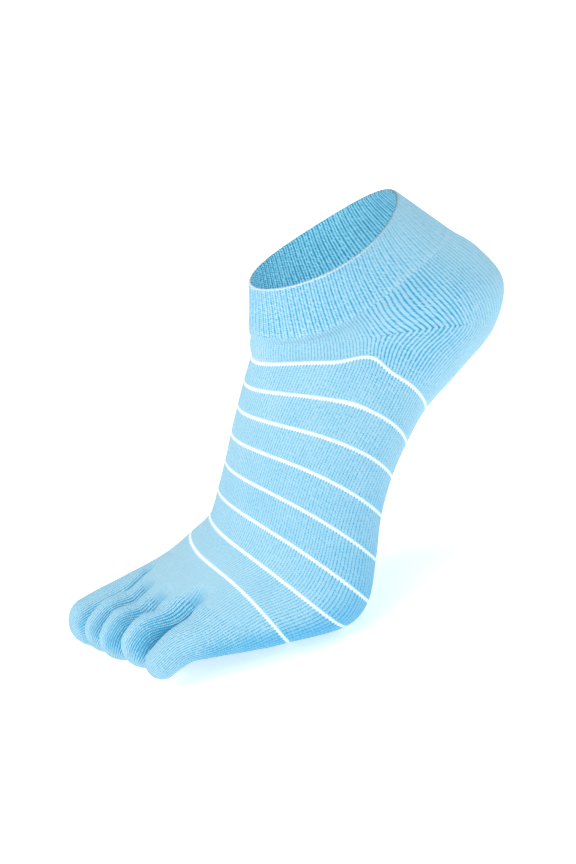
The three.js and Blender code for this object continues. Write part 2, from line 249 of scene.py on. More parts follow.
# Length along each wale of the net, which is 0 at the first stripe.
netRun = np.vstack([np.zeros((1, net.shape[1])),
                    np.cumsum(np.linalg.norm(np.diff(net, axis=0), axis=-1), axis=0)])
netRun -= netRun[int(round(stripeStations[0] / netStep))]


# A mesh object from points, faces of four and of three corners, and the stitch place of each
# corner of those faces. Fields are further values of each point, normals its shading direction.
def meshPiece(name, points, quads, triangles, quadStitches, triangleStitches, fields, normals):
    used, compact = np.unique(np.concatenate([quads.ravel(), triangles.ravel()]),
                              return_inverse=True)
    mesh = bpy.data.meshes.new(name)
    mesh.vertices.add(len(used))
    mesh.vertices.foreach_set("co", points[used].astype(np.float32).ravel())
    mesh.loops.add(len(compact))
    mesh.loops.foreach_set("vertex_index", compact.astype(np.int32).ravel())
    mesh.polygons.add(len(quads) + len(triangles))
    starts = np.r_[np.arange(len(quads)) * 4, quads.size + np.arange(len(triangles)) * 3]
    mesh.polygons.foreach_set("loop_start", starts.astype(np.int32))
    mesh.update(calc_edges=True)
    mesh.polygons.foreach_set("use_smooth", np.ones(len(starts), bool))
    stitches = np.vstack([quadStitches.reshape(-1, 2), triangleStitches.reshape(-1, 2)])
    mesh.uv_layers.new(name="knit").data.foreach_set("uv", stitches.astype(np.float32).ravel())
    for fieldName, values in fields.items():
        layer = mesh.attributes.new(fieldName, "FLOAT", "POINT")
        layer.data.foreach_set("value", values[used].astype(np.float32))
    mesh.normals_split_custom_set_from_vertices(normals[used].astype(np.float32))
    piece = bpy.data.objects.new(name, mesh)
    bpy.context.collection.objects.link(piece)
    print(name, len(used), "points", len(starts), "faces")
    return piece


# A closed cloth from nets of outer and inner points of the same size. Cells where keep is true
# are cloth, and a wall between the two nets stands on each cell side with no cloth beyond it.
# stitches holds the wale and course of each net point, with one more column on a round cloth.
def clothPiece(name, outer, inner, stitches, fields, normals, isRound, isClosedAtEnd=False,
               keep=None):
    rows, columns = outer.shape[:2]
    cells = columns if isRound else columns - 1
    keep = np.ones((rows - 1, cells), bool) if keep is None else keep
    place = np.arange(columns + 1) % columns if isRound else np.arange(columns)
    index = np.arange(rows)[:, None] * columns + place[None, :]
    if isClosedAtEnd:
        index[-1] = (rows - 1) * columns
    inside = rows * columns
    flat = stitches.reshape(-1, 2)
    width = stitches.shape[1]
    quads, quadStitches, triangles, triangleStitches = [], [], [], []
    isTip = np.zeros_like(keep)
    isTip[-1] = isClosedAtEnd

    def corners(i, j):
        at = [(i, j), (i, j + 1), (i + 1, j + 1), (i + 1, j)]
        return (np.stack([index[c] for c in at], -1),
                np.stack([flat[c[0] * width + c[1]] for c in at], 1))

    full, uv = corners(*np.nonzero(keep & ~isTip))
    quads += [full, full[:, ::-1] + inside]
    quadStitches += [uv, uv[:, ::-1]]
    tip, uv = corners(*np.nonzero(keep & isTip))
    triangles += [tip[:, :3], tip[:, 2::-1] + inside]
    triangleStitches += [uv[:, :3], uv[:, 2::-1]]
    framed = np.zeros((rows + 1, cells + 2), bool)
    framed[1:-1, 1:-1] = keep
    if isRound:
        framed[1:-1, 0] = keep[:, -1]
        framed[1:-1, -1] = keep[:, 0]
    beyond = {(0, 1): framed[:-2, 1:-1], (1, 2): framed[1:-1, 2:],
              (2, 3): framed[2:, 1:-1] | isTip, (3, 0): framed[1:-1, :-2]}
    for (a, b), neighbour in beyond.items():
        edge, uv = corners(*np.nonzero(keep & ~neighbour))
        quads.append(np.stack([edge[:, b], edge[:, a], edge[:, a] + inside, edge[:, b] + inside], -1))
        quadStitches.append(np.stack([uv[:, b], uv[:, a], uv[:, a], uv[:, b]], 1))
    both = {fieldName: np.tile(values.ravel(), 2) for fieldName, values in fields.items()}
    both["inside"] = np.repeat([0.0, 1.0], inside)
    allNormals = np.vstack([normals.reshape(-1, 3), -normals.reshape(-1, 3)])
    return meshPiece(name, np.vstack([outer.reshape(-1, 3), inner.reshape(-1, 3)]),
                     np.vstack(quads), np.vstack(triangles), np.vstack(quadStitches),
                     np.vstack(triangleStitches), both, allNormals)


# Courses, columns of points for each wale of the net, and how the knitted wales lie on the net.
knit = {
    "coursesPerSection": 14,
    "courseLength": 0.00085,
    "tubeColumnsPerWale": 2,
    "cuffColumnsPerWale": 5,
    "heelColumnsPerWale": 3,
    "toeColumnsPerWale": 4,
    "knittedWales": 160,
    "backWidth": 1.30,
    "spread": (40, 18),
    "lean": 8.0,
    "leanSections": 5,
    "cuffWales": 156,
    "cuffLean": 2.0,
    "turnRing": 7.0,
    "blendFrom": 50,
    "blendTo": 105,
}

# The heel's line and stitches, in millimetres and wales from the middle of the heel. lineStart,
# lineEnd, hole and beat say where a hole is not there and where it is full.
heel = {
    "goreStation": 4.9,
    "lineStart": (24.0, 25.5),
    "lineEnd": (50.5, 48.5),
    "holeStep": 1.8,
    "hole": (0.576, 0.1),
    "beat": (-0.1, 0.9),
    "holeShade": 0.7,
    "waleWidth": 1.50,
    "waleAcross": (0.885, 0.466),
    "fadeIn": (-3, 26),
    "fadeOut": (84, -42),
    "straight": 0.85,
}


# Knitted wales between the middle of the upper side and each wale of the net, beyond the heel. They
# stand closest over the instep and are backWidth times as wide at the back: their density falls
# with a smooth step, and its sum is the count.
def evenCount(fromFront):
    place = np.linspace(0, sock["wales"] / 2, sock["wales"] * 2 + 1)
    density = 1 - (1 - 1 / knit["backWidth"]) * eased(place, knit["spread"])
    count = np.r_[0, np.cumsum(density[1:] + density[:-1])]
    return np.interp(fromFront, place, count * knit["knittedWales"] / 2 / count[-1])


# Wales of the net between the middle of the upper side and a wale, on the nearer way around.
def fromFrontAt(wale):
    return np.abs((wale + sock["wales"] / 4) % sock["wales"] - sock["wales"] / 2)


# Millimetres along the wale from the line where the heel turns, which lies at one section number
# on both sides, and wales from the middle of the heel.
def goreAt(station, wale):
    run = onNet(netRun[..., None], station, wale)[..., 0]
    line = onNet(netRun[..., None], np.full_like(run, heel["goreStation"]), wale)[..., 0]
    return (run - line) * 1000, sock["wales"] / 2 - fromFrontAt(wale)


# The same count on the whole net. Up to the ring turnRing the knitted wales keep their width along
# the foot: the count goes by the length around the ring from the middle of the upper side, and
# eases between blendFrom and blendTo into the count by the length from the middle of the back, all
# in millimetres. On the sides of the heel above its line they run straight, waleWidth apart across
# a fixed way, and go on from the count on the line.
def makeNetCount():
    step = np.linalg.norm(np.roll(net, -1, axis=1) - net, axis=-1) * 1000
    run = np.hstack([np.zeros((len(net), 1)), np.cumsum(step, axis=1)])
    away = np.abs(run[:, :-1] - run[:, len(netWales) // 4][:, None])
    away = np.minimum(away, run[:, -1:] - away)
    fromBack = run[:, -1:] / 2 - away
    even = np.tile(evenCount(fromFrontAt(netWales)), (len(net), 1))
    ring = int(round(knit["turnRing"] / netStep))
    order = np.argsort(away[ring])
    byFront = np.interp(away, away[ring][order], even[ring][order])
    byBack = np.interp(fromBack, fromBack[ring][order[::-1]], even[ring][order[::-1]])
    share = smoothStep((away - knit["blendFrom"]) / (knit["blendTo"] - knit["blendFrom"]))
    near = byFront + (byBack - byFront) * share
    station, wale = np.meshgrid(netStations, netWales, indexing="ij")
    gone, along = goreAt(station, wale)
    line = int(round(heel["goreStation"] / netStep))
    across = (net[..., [0, 2]] - net[line][:, [0, 2]]) @ np.array(heel["waleAcross"]) * 1000
    weight = heel["straight"] * (gone < 0) * eased(along, heel["fadeIn"])
    weight *= eased(along, heel["fadeOut"])
    near += (near[line] + across / heel["waleWidth"] - near) * weight
    return np.where(station < knit["turnRing"], near, even)


# Knitted wales around the tube from its first wale on: from the count to the middle of the upper
# side, with a shift that is mirrored on the two sides.
def countAround(fromMiddle, wale, shift):
    rounds = np.floor(wale / sock["wales"])
    place = wale - rounds * sock["wales"]
    total = knit["knittedWales"]
    count = np.where(place < sock["wales"] / 4, -fromMiddle, fromMiddle)
    count = np.where(place > sock["wales"] * 3 / 4, total - fromMiddle, count)
    return count + total / 4 + rounds * total + shift


# Knitted wale of a place on the tube. The wales lean by knit["lean"] along the foot.
def waleAt(station, wale):
    outward = np.cos(2 * np.pi * wale / sock["wales"])
    lean = knit["lean"] * eased(station, (heelEnd, knit["leanSections"])) * outward
    return countAround(onNet(netCount[..., None], station, wale)[..., 0], wale, -lean)


# Knitted wale of a place on the cuff, which leans from its edge to its seam.
def cuffWaleAt(station, wale):
    outward = np.cos(2 * np.pi * wale / sock["wales"])
    lean = knit["cuffLean"] * station / cuffEnd * outward
    return wale / sock["wales"] * knit["cuffWales"] - lean


# Course number of the tube's stitches: a fixed count for each section number past the heel, and
# by length along the wale before it.
def courseAt(station, wale):
    past = np.maximum(np.asarray(station, float) - heelEnd, 0) * knit["coursesPerSection"]
    before = onNet(netRun[..., None], np.minimum(station, heelEnd), wale)[..., 0]
    return past + before / knit["courseLength"]


# Millimetres that one section number takes along the wale.
def sectionLengthAt(station, wale):
    near = 0.2
    there = np.minimum(station + near, len(sections) - 1)
    back = np.maximum(station - near, 0)
    run, before = (onNet(netRun[..., None], number, wale)[..., 0] for number in (there, back))
    return (run - before) / (there - back) * 1000


netCount = makeNetCount()
stripe = {
    "bend": 0.46,
    "bendAt": 42,
    "bendWidth": 6.0,
    "bendFade": (-0.4, 1.6),
    "half": 0.70,
    "soft": 0.35,
    "tooth": 0.50,
    "shade": 0.5,
}

# Where the looks of the cloth change, each as start and reach: in wales from the middle of the
# upper side, section numbers, parts of the outward direction, millimetres from the toe tip, or
# shares of the toe. Most place painted light and shade: the paler back, cuff back and toe roots,
# the shade of under sides and folds, and the glow of the inside; the firm ones place the heel's own
# firmer stitches.
shades = {
    "backWales": (56, 24),
    "backSections": (10, -3),
    "rootWales": (50, -25),
    "rootSections": (12.5, 2),
    "cuffWales": (36, 40),
    "firmWales": (30, 22),
    "firmSections": (8, -2),
    "underLift": (0.5, -1.0),
    "underSections": (8, 6),
    "underToTip": (8, 25),
    "creaseSide": (0.45, 0.50),
    "creaseShare": (0, 0.25),
    "creaseToTip": (5, 9),
    "glowSections": 5.0,
    "toeGlow": 0.2,
}


# Outer points of the tube's cloth on the net, and their unit normals.
def tubeGrid(station, wale):
    outer = onNet(net, station, wale)
    normals = onNet(netNormals, station, wale)
    normals /= np.linalg.norm(normals, axis=-1, keepdims=True)
    return outer, normals


# Stitch places of a round cloth: its knitted wales and courses, the first column again at the end.
def roundStitches(station, wale, countWales):
    station = np.hstack([station, station[:, :1]])
    wale = np.hstack([wale, np.full((len(wale), 1), float(sock["wales"]))])
    return np.stack([countWales(station, wale), courseAt(station, wale)], -1)


# Fields of the tube's cloth: places by the heel's line, painted light that makes it paler with less
# stitch shade at the back and over the toe roots, painted shade on the sides that face down towards
# the toes, the firmer stitches of the heel, and a painted glow of the inside that fades from the
# ankle opening.
def tubeFields(station, wale):
    away, along = goreAt(station, wale)
    fromFront = fromFrontAt(wale)
    behind = eased(fromFront, shades["backWales"]) * eased(station, shades["backSections"])
    above = eased(fromFront, shades["rootWales"]) * eased(station, shades["rootSections"])
    lift = onNet(netNormals, station, wale)[..., 2]
    return {
        "goreAway": away,
        "goreAlong": along,
        # Painted light: paler, with less stitch shade, at the back outline and over the toe roots.
        "paintedLight": np.maximum(behind, above),
        # Painted shade on the sides that face down.
        "under": eased(lift, shades["underLift"]) * eased(station, shades["underSections"]),
        "firm": eased(fromFront, shades["firmWales"]) * eased(station, shades["firmSections"]),
        # Painted glow of the inside, fading from the ankle opening.
        "glow": np.exp(-np.maximum(station - cuffEnd, 0) / shades["glowSections"]),
    }


# Bend of the stripes at the side, in section numbers: a bell curve around the wale bendAt that
# is highest on the first stripe and gone at the third.
def stripeBend(station, wale):
    bell = np.exp(-((fromFrontAt(wale) - stripe["bendAt"]) / stripe["bendWidth"]) ** 2)
    fade = 1 - eased(station - stripeStations[0], stripe["bendFade"])
    return stripe["bend"] * bell * fade


cuffCloth = {
    "rows": 36,
    "crowding": 1.4,
    "ribDepth": 0.00010,
    "rimRound": 0.0012,
    "rimLeast": 0.02,
}


# The cuff: the tube's first two sections with 1 by 1 ribs of ribDepth cos(pi wale), its edge
# rounded as a quarter circle to the middle of the wall. Its rows crowd towards the edge.
def makeCuff():
    wales = np.arange(sock["wales"] * knit["cuffColumnsPerWale"]) / knit["cuffColumnsPerWale"]
    share = np.linspace(0, 1, cuffCloth["rows"]) ** cuffCloth["crowding"]
    station, wale = np.meshgrid(cuffEnd * share, wales, indexing="ij")
    middle, normals = tubeGrid(station, wale)
    run = np.linalg.norm(middle - middle[:1], axis=-1)
    inward = 1 - np.clip(run / cuffCloth["rimRound"], 0, 1)
    fade = np.sqrt(np.clip(1 - inward ** 2, cuffCloth["rimLeast"] ** 2, 1))
    rib = cuffCloth["ribDepth"] * np.cos(np.pi * cuffWaleAt(station, wale)) * fade
    half = sock["cuffWall"] / 2
    outer = middle + normals * (half * (fade - 1) + rib)[..., None]
    inner = middle - normals * (half * (fade + 1) - rib)[..., None]
    fields = {
        "rim": run * 1000,
        "seam": np.linalg.norm(middle - middle[-1:], axis=-1) * 1000,
        # Painted light: the back of the cuff is paler, with less stitch shade.
        "paintedLight": eased(fromFrontAt(wale), shades["cuffWales"]),
        # Painted glow of the inside, full on the cuff.
        "glow": np.ones_like(station),
    }
    return clothPiece("cuffKnit", outer, inner, roundStitches(station, wale, cuffWaleAt), fields,
                      normals, True)


# The foot tube: all sections from the cuff to the toe roots but the heel pocket's opening.
def makeFootTube():
    perWale = knit["tubeColumnsPerWale"]
    wales = np.arange(sock["wales"] * perWale) / perWale
    heelRows, footRows, rootRows = 34, 64, 14
    ends = tubeEnd(wales)
    station = np.vstack([
        np.tile(np.linspace(cuffEnd, heelEnd, heelRows + 1)[:, None], len(wales)),
        np.tile(np.linspace(heelEnd, rootStart, footRows + 1)[1:, None], len(wales)),
        rootStart + np.linspace(0, 1, rootRows + 1)[1:, None] * (ends - rootStart)[None, :],
    ])
    wale = np.tile(wales, (len(station), 1))
    outer, normals = tubeGrid(station, wale)
    inner = outer - normals * sock["wall"]
    keep = np.ones((len(station) - 1, len(wales)), bool)
    keep[:heelRows, (wales >= heelFrom) & (wales < heelTo)] = False
    fields = tubeFields(station, wale)
    fields["section"] = station + stripeBend(station, wale)
    fields["sectionLength"] = sectionLengthAt(station, wale)
    isUpper = wale < sock["wales"] / 2
    # Painted shade in the folds between the toe roots.
    fold = smoothStep(1 - (ends - station) / sock["foldSections"]) * foldAt(wale)
    fields["paintedCreaseShade"] = fold * isUpper
    return clothPiece("footTubeKnit", outer, inner, roundStitches(station, wale, waleAt), fields,
                      normals, True, keep=keep)


# The heel pocket: the under side of the tube between the cuff and the end of the heel.
def makeHeelPocket():
    perWale = knit["heelColumnsPerWale"]
    wales = np.arange(heelFrom * perWale, heelTo * perWale + 1) / perWale
    rows = 90
    station, wale = np.meshgrid(np.linspace(cuffEnd, heelEnd, rows + 1), wales, indexing="ij")
    outer, normals = tubeGrid(station, wale)
    inner = outer - normals * sock["wall"]
    stitches = np.stack([waleAt(station, wale), courseAt(station, wale)], -1)
    return clothPiece("heelPocketKnit", outer, inner, stitches, tubeFields(station, wale),
                      normals, False)


toeShape = {
    "gap": 0.0003,
    "gapWales": 4,
    "rings": 45,
    "capRings": 16,
    "cap": 0.95,
    "square": 2.0,
    "rootBlend": 0.78,
}


# Base ring of a toe in steps of a share of a wale: along the tube's upper edge, down the web,
# back along the under edge and up the other web, half a gap away from the neighbouring toes.
# Gives each point's place, the way in which the cloth runs into the toe, its outward direction,
# its section number and its wale, which is no number on a web.
def toeBase(start, stop, gap):
    perWale = knit["toeColumnsPerWale"]
    half = sock["wales"] / 2
    top = np.arange(start * perWale, stop * perWale + 1) / perWale
    hasOuterWeb, hasInnerWeb = start > 0, stop < half
    near = 0.1
    squeeze = gap / 2 / np.linalg.norm(onNet(net, rootStart, 1.0) - onNet(net, rootStart, 0.0))
    aside = np.zeros_like(top)
    if hasOuterWeb:
        aside += np.clip(1 - (top - start) / toeShape["gapWales"], 0, 1) ** 2
    if hasInnerWeb:
        aside -= np.clip(1 - (stop - top) / toeShape["gapWales"], 0, 1) ** 2

    def edge(wales, asideHere, direction):
        shifted = wales + asideHere * squeeze * direction
        end = tubeEnd(shifted)
        column = np.floor(shifted * knit["tubeColumnsPerWale"]) / knit["tubeColumnsPerWale"]
        share = ((shifted - column) * knit["tubeColumnsPerWale"])[:, None]
        following = column + 1 / knit["tubeColumnsPerWale"]
        at = (onNet(net, tubeEnd(column), column) * (1 - share)
              + onNet(net, tubeEnd(following), following) * share)
        run = onNet(net, end + near, shifted) - onNet(net, end - near, shifted)
        run /= np.linalg.norm(run, axis=-1, keepdims=True)
        out = onNet(netNormals, end, shifted)
        out[:, 1] -= asideHere
        out /= np.linalg.norm(out, axis=-1, keepdims=True)
        return at, run, out, end, wales

    upper = edge(top, aside, 1)
    under = edge(sock["wales"] - top[::-1], aside[::-1], -1)

    def web(wale, isDown, side):
        share = np.arange(1, sock["webWales"] * perWale) / (sock["webWales"] * perWale)
        pair = np.array([wale, sock["wales"] - wale], float)
        ends = edge(pair if isDown else pair[::-1], np.zeros(2), 1)
        (first, last), (firstRun, lastRun) = ends[0], ends[1]
        at = first + (last - first) * share[:, None]
        run = firstRun + (lastRun - firstRun) * share[:, None]
        run /= np.linalg.norm(run, axis=-1, keepdims=True)
        at[:, 0] += sock["webHollow"] * np.sin(np.pi * share) ** 2
        at[:, 1] += side * gap / 2
        one = np.ones_like(share)
        return at, run, np.outer(one, [0, -side, 0]), one * tubeEnd(wale), one * np.nan

    parts = [upper]
    if hasInnerWeb:
        parts += [web(stop, True, -1), under]
    else:
        parts += [[value[1:] for value in under]]
    if hasOuterWeb:
        parts.append(web(start, False, 1))
    else:
        parts[-1] = [value[:-1] for value in parts[-1]]
    return [np.concatenate([part[k] for part in parts]) for k in range(5)]


# Knitted wales around a toe, with the first one again at the end: those of the tube on its upper
# and under edge, moved by whole wales so that each web gets about webWales of them.
def toeCount(end, wale, stop):
    count = waleAt(end, np.nan_to_num(wale))
    known = np.flatnonzero(~np.isnan(wale))
    justBeforeHalf = sock["wales"] / 2 - 1e-6
    isUnder = np.nan_to_num(wale) > max(stop, justBeforeHalf)
    firstUnder = np.flatnonzero(isUnder)[0]
    lastTop = known[known < firstUnder][-1]
    webSpan = (firstUnder - lastTop) / knit["toeColumnsPerWale"]
    count[isUnder] += np.round(count[lastTop] + webSpan - count[firstUnder])
    lastSpan = (len(wale) - known[-1]) / knit["toeColumnsPerWale"]
    closing = count[0] + np.round(count[known[-1]] + lastSpan - count[0])
    return np.interp(np.arange(len(wale) + 1), np.r_[known, len(wale)], np.r_[count[known], closing])


# Shares of a turn at which the points of a toe's base ring lie, with its upper side around a
# quarter: a web's middle is a quarter turn away from the top.
def toeShares(toe, count, hasInnerWeb):
    perWale = knit["toeColumnsPerWale"]
    webSteps = sock["webWales"] * perWale
    webMiddle = toe["wales"] * perWale + webSteps / 2 if hasInnerWeb else count - webSteps / 2
    topIndex = webMiddle + (-count if hasInnerWeb else count) / 4
    return 0.25 + (np.arange(count) - topIndex) / count


# Middle line of a toe: a curve of the second degree from the root over the knuckle to the tip, and
# straight on into a cap. Gives its parameter, points and ways, and the half width and half height
# there, which grow to the tip's along the second half and close the cap as a quarter circle.
def toeLine(toe, root):
    length, width = sock["footLength"], sock["ballWidth"]
    tip = np.array([-toe["tipAhead"] * length, toe["tipAside"] * width, toe["tipUp"] * width])
    tip -= opening
    knuckle = np.array([-toe["knuckleAhead"] * length - opening[0], (root[1] + tip[1]) / 2,
                        toe["knuckleUp"] * width - opening[2]])
    t = np.linspace(0, 1, toeShape["rings"])[:, None]
    curve = (1 - t) ** 2 * root + 2 * t * (1 - t) * knuckle + t ** 2 * tip
    way = 2 * (1 - t) * (knuckle - root) + 2 * t * (tip - knuckle)
    way /= np.linalg.norm(way, axis=-1, keepdims=True)
    bend = np.linspace(0, np.pi / 2, toeShape["capRings"] + 1)[1:, None]
    cap = tip + way[-1] * toeShape["cap"] * toe["tipHalfHeight"] * width * np.sin(bend)
    grown = np.r_[2 * np.maximum(t[:, 0] - 0.5, 0), np.ones(len(bend))]
    narrow = np.r_[np.ones(len(t)), np.cos(bend[:, 0])] * width
    halfWidth = (toe["halfWidth"] + (toe["tipHalfWidth"] - toe["halfWidth"]) * grown) * narrow
    halfHeight = (toe["halfHeight"] + (toe["tipHalfHeight"] - toe["halfHeight"]) * grown) * narrow
    ways = np.vstack([way, np.tile(way[-1:], (len(bend), 1))])
    return t, np.vstack([curve, cap]), ways, halfWidth, halfHeight


# Rounded rectangles across a toe's middle line, with a point at each share of a turn.
def toeRings(middle, ways, halfWidth, halfHeight, shares):
    side = np.cross([0, 0, -1], ways)
    side /= np.linalg.norm(side, axis=-1, keepdims=True)
    up = -np.cross(ways, side)
    turn = np.linspace(0, 2 * np.pi, ringSamples + 1)[None, :, None]
    across = side[:, None] * halfWidth[:, None, None] * fuller(np.cos(turn), toeShape["square"])
    rise = up[:, None] * halfHeight[:, None, None] * fuller(np.sin(turn), toeShape["square"])
    return evenAround(middle[:, None] - across + rise, shares)


# Stitch places of a toe: the knitted wales of its base ring all along it, and courses that go on
# by length from the tube's, eased over the webs.
def toeStitches(end, wale, stop, along):
    known = ~np.isnan(wale)
    firstCourse = np.interp(np.arange(len(wale)), np.flatnonzero(known),
                            courseAt(end[known], wale[known]), period=len(wale))
    course = firstCourse[None] + along / knit["courseLength"]
    knitted = np.tile(toeCount(end, wale, stop), (len(along), 1))
    return np.stack([knitted, np.hstack([course, course[:, :1]])], -1)


# Fields of a toe: painted shade in its folds, which goes on from that at the tube's end and stays
# where the cloth faces a neighbour, painted shade on its under side, and a little painted glow of
# the inside.
def toeFields(wale, normals, along, hasOuterWeb, hasInnerWeb):
    toTip = (along[-1:] - along) * 1000
    hasNeighbour = np.where(normals[..., 1] > 0, float(hasInnerWeb), float(hasOuterWeb))
    beside = eased(np.abs(normals[..., 1]), shades["creaseSide"]) * hasNeighbour
    onEdge = np.nan_to_num(wale)
    rooted = np.where(np.isnan(wale), 1.0, foldAt(onEdge) * (onEdge < sock["wales"] / 2))
    mix = eased(np.linspace(0, 1, len(normals)), shades["creaseShare"])[:, None]
    # Painted shade in the folds beside the neighbouring toes.
    paintedCreaseShade = (rooted + (beside - rooted) * mix) * eased(toTip, shades["creaseToTip"])
    # Painted shade on the under side of the toe.
    under = eased(normals[..., 2], shades["underLift"]) * eased(toTip, shades["underToTip"])
    return {"paintedCreaseShade": paintedCreaseShade, "under": under, "glow": np.full_like(paintedCreaseShade, shades["toeGlow"])}


# A toe: rings along its middle line, blended at the root with the base ring carried along the way
# of the cloth, and closed by a pole. The gap to the neighbours opens over a few times its width.
def makeToe(toe, start):
    stop = start + toe["wales"]
    hasOuterWeb, hasInnerWeb = start > 0, stop < sock["wales"] / 2
    base, run, out, end, wale = toeBase(start, stop, 0.0)
    parted = toeBase(start, stop, toeShape["gap"])[0] - base
    count = len(base)
    root = base.mean(axis=0)
    t, middle, ways, halfWidth, halfHeight = toeLine(toe, root)
    shares = toeShares(toe, count, hasInnerWeb)
    outer = toeRings(middle[:-1], ways[:-1], halfWidth[:-1], halfHeight[:-1], shares)
    gone = middle[:len(t)] - root
    travel = np.linalg.norm(gone, axis=-1)[:, None, None]
    carried = base[None] + gone[:, None] + (run - ways[0])[None] * travel
    carried += parted[None] * smoothStep(travel / (toeShape["gap"] * 4))
    blend = smoothStep(t[..., None] / toeShape["rootBlend"])
    outer[:len(t)] += (carried - outer[:len(t)]) * (1 - blend)
    outer = np.concatenate([outer, np.tile(middle[-1], (1, count, 1))])
    normals = normalsOf(outer, True)
    normals[0] = out
    normals[-1] = ways[-1]
    inner = outer - normals * sock["wall"]
    step = np.linalg.norm(np.diff(outer, axis=0), axis=-1)
    along = np.vstack([np.zeros((1, count)), np.cumsum(step, axis=0)])
    return clothPiece(toe["name"] + "Knit", outer, inner, toeStitches(end, wale, stop, along),
                      toeFields(wale, normals, along, hasOuterWeb, hasInnerWeb), normals, True, True)


print("building the cloth")
cuff = makeCuff()
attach(cuff, "root")
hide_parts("cuff")
footTube = makeFootTube()
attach(footTube, "root")
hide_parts("instep", "midfoot", "forefoot")
heelPocket = makeHeelPocket()
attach(heelPocket, "root")
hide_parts("heel_pocket")
toes = []
for number, toe in enumerate(toeTable):
    piece = makeToe(toe, int(np.r_[0, webs][number]))
    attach(piece, "root")
    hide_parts(toe["name"])
    toes.append(piece)

# Camera at the angle of the photograph: 10 degrees to the left of the side view, 21 degrees above
# the level and rolled by 13 degrees. The target is a point of the sock before it was moved so
# that the origin is in the ankle opening.
view = {
    "turn": math.radians(-10),
    "lift": math.radians(21),
    "roll": math.radians(13),
    "distance": 0.900,
    "target": np.array([0.0099, 0.0420, 0.08519]),
    "lens": 58.75,
    "sensorHeight": 24.0,
    "nearest": 0.01,
    "farthest": 20,
}


# Camera matrix from its turn, lift and roll: it looks at the target along minus its back way.
def addCamera():
    turn, lift, roll = view["turn"], view["lift"], view["roll"]
    back = np.array([math.sin(turn) * math.cos(lift), -math.cos(turn) * math.cos(lift),
                     math.sin(lift)])
    right = np.array([math.cos(turn), math.sin(turn), 0.0])
    upward = np.cross(back, right)
    across = math.cos(roll) * right - math.sin(roll) * upward
    upward = math.sin(roll) * right + math.cos(roll) * upward
    place = view["target"] - opening + back * view["distance"]
    data = bpy.data.cameras.new("camera")
    data.sensor_fit = "VERTICAL"
    data.sensor_height = view["sensorHeight"]
    data.lens = view["lens"]
    data.clip_start = view["nearest"]
    data.clip_end = view["farthest"]
    camera = bpy.data.objects.new("camera", data)
    rows = [[across[k], upward[k], back[k], place[k]] for k in range(3)]
    camera.matrix_world = Matrix(rows + [[0, 0, 0, 1]])
    bpy.context.collection.objects.link(camera)
    bpy.context.scene.camera = camera


print("placing the camera and the lights")
addCamera()

studio = {
    "floorSize": 30,
    "floorGap": 0.0005,
    "floorRoughness": 0.9,
    "floorColour": (0.88, 0.88, 0.88, 1),
    "floorGlow": 0.60,
    "skyColour": (0.72, 0.92, 1, 1),
    "skyStrength": 0.57,
    "sunWay": (-0.58, -0.30, 0.80),
    "sunStrength": 2.56,
    "sunColour": (1, 0.95, 0.91),
    "fillWay": (0.75, -0.50, 0.30),
    "fillStrength": 0.58,
    "fillColour": (0.50, 0.86, 1),
    "lightAngle": math.radians(60),
}


# A wide soft light that shines from a way towards the sock.
def addLight(name, way, strength, colour):
    data = bpy.data.lights.new(name, "SUN")
    data.energy = strength
    data.color = colour
    data.angle = studio["lightAngle"]
    light = bpy.data.objects.new(name, data)
    back = np.array(way)
    back /= np.linalg.norm(back)
    right = np.cross([0, 0, 1], back)
    right /= np.linalg.norm(right)
    upward = np.cross(back, right)
    rows = [[right[k], upward[k], back[k], back[k]] for k in range(3)]
    light.matrix_world = Matrix(rows + [[0, 0, 0, 1]])
    bpy.context.collection.objects.link(light)


# Pale floor a little below the sock that glows like a light table, an even sky, a wide soft light
# from the toes' side and a weaker one from the heel's side.
def addStudio():
    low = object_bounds()[0][2]
    bpy.ops.mesh.primitive_plane_add(size=studio["floorSize"],
                                     location=(0, 0, low - studio["floorGap"]))
    floor = bpy.context.object
    floor.name = "floor"
    material = bpy.data.materials.new("floor")
    material.use_nodes = True
    shader = material.node_tree.nodes["Principled BSDF"]
    shader.inputs["Base Color"].default_value = studio["floorColour"]
    shader.inputs["Roughness"].default_value = studio["floorRoughness"]
    shader.inputs["Emission Color"].default_value = studio["floorColour"]
    shader.inputs["Emission Strength"].default_value = studio["floorGlow"]
    material.cycles.emission_sampling = "NONE"
    floor.data.materials.append(material)
    world = bpy.data.worlds.new("studio")
    world.use_nodes = True
    back = world.node_tree.nodes["Background"]
    back.inputs["Color"].default_value = studio["skyColour"]
    back.inputs["Strength"].default_value = studio["skyStrength"]
    bpy.context.scene.world = world
    addLight("sun", studio["sunWay"], studio["sunStrength"], studio["sunColour"])
    addLight("fill", studio["fillWay"], studio["fillStrength"], studio["fillColour"])


addStudio()


# Adds a math node to a tree: numbers or sockets in, its result out.
def calc(tree, operation, *values, isHeld=False):
    node = tree.nodes.new("ShaderNodeMath")
    node.operation = operation
    node.use_clamp = isHeld
    for socket, value in zip(node.inputs, values):
        if isinstance(value, (int, float)):
            socket.default_value = value
        else:
            tree.links.new(value, socket)
    return node.outputs[0]


# Mix of two colours, each a tuple or a socket, by a share.
def mixed(tree, share, first, second, blend="MIX"):
    node = tree.nodes.new("ShaderNodeMix")
    node.data_type = "RGBA"
    node.blend_type = blend
    for socket, value in zip((node.inputs[0], node.inputs[6], node.inputs[7]),
                             (share, first, second)):
        if isinstance(value, (int, float, tuple)):
            socket.default_value = value
        else:
            tree.links.new(value, socket)
    return node.outputs[2]


# A field of the cloth's points by its name.
def fieldOf(tree, name):
    node = tree.nodes.new("ShaderNodeAttribute")
    node.attribute_name = name
    return node.outputs["Fac"]


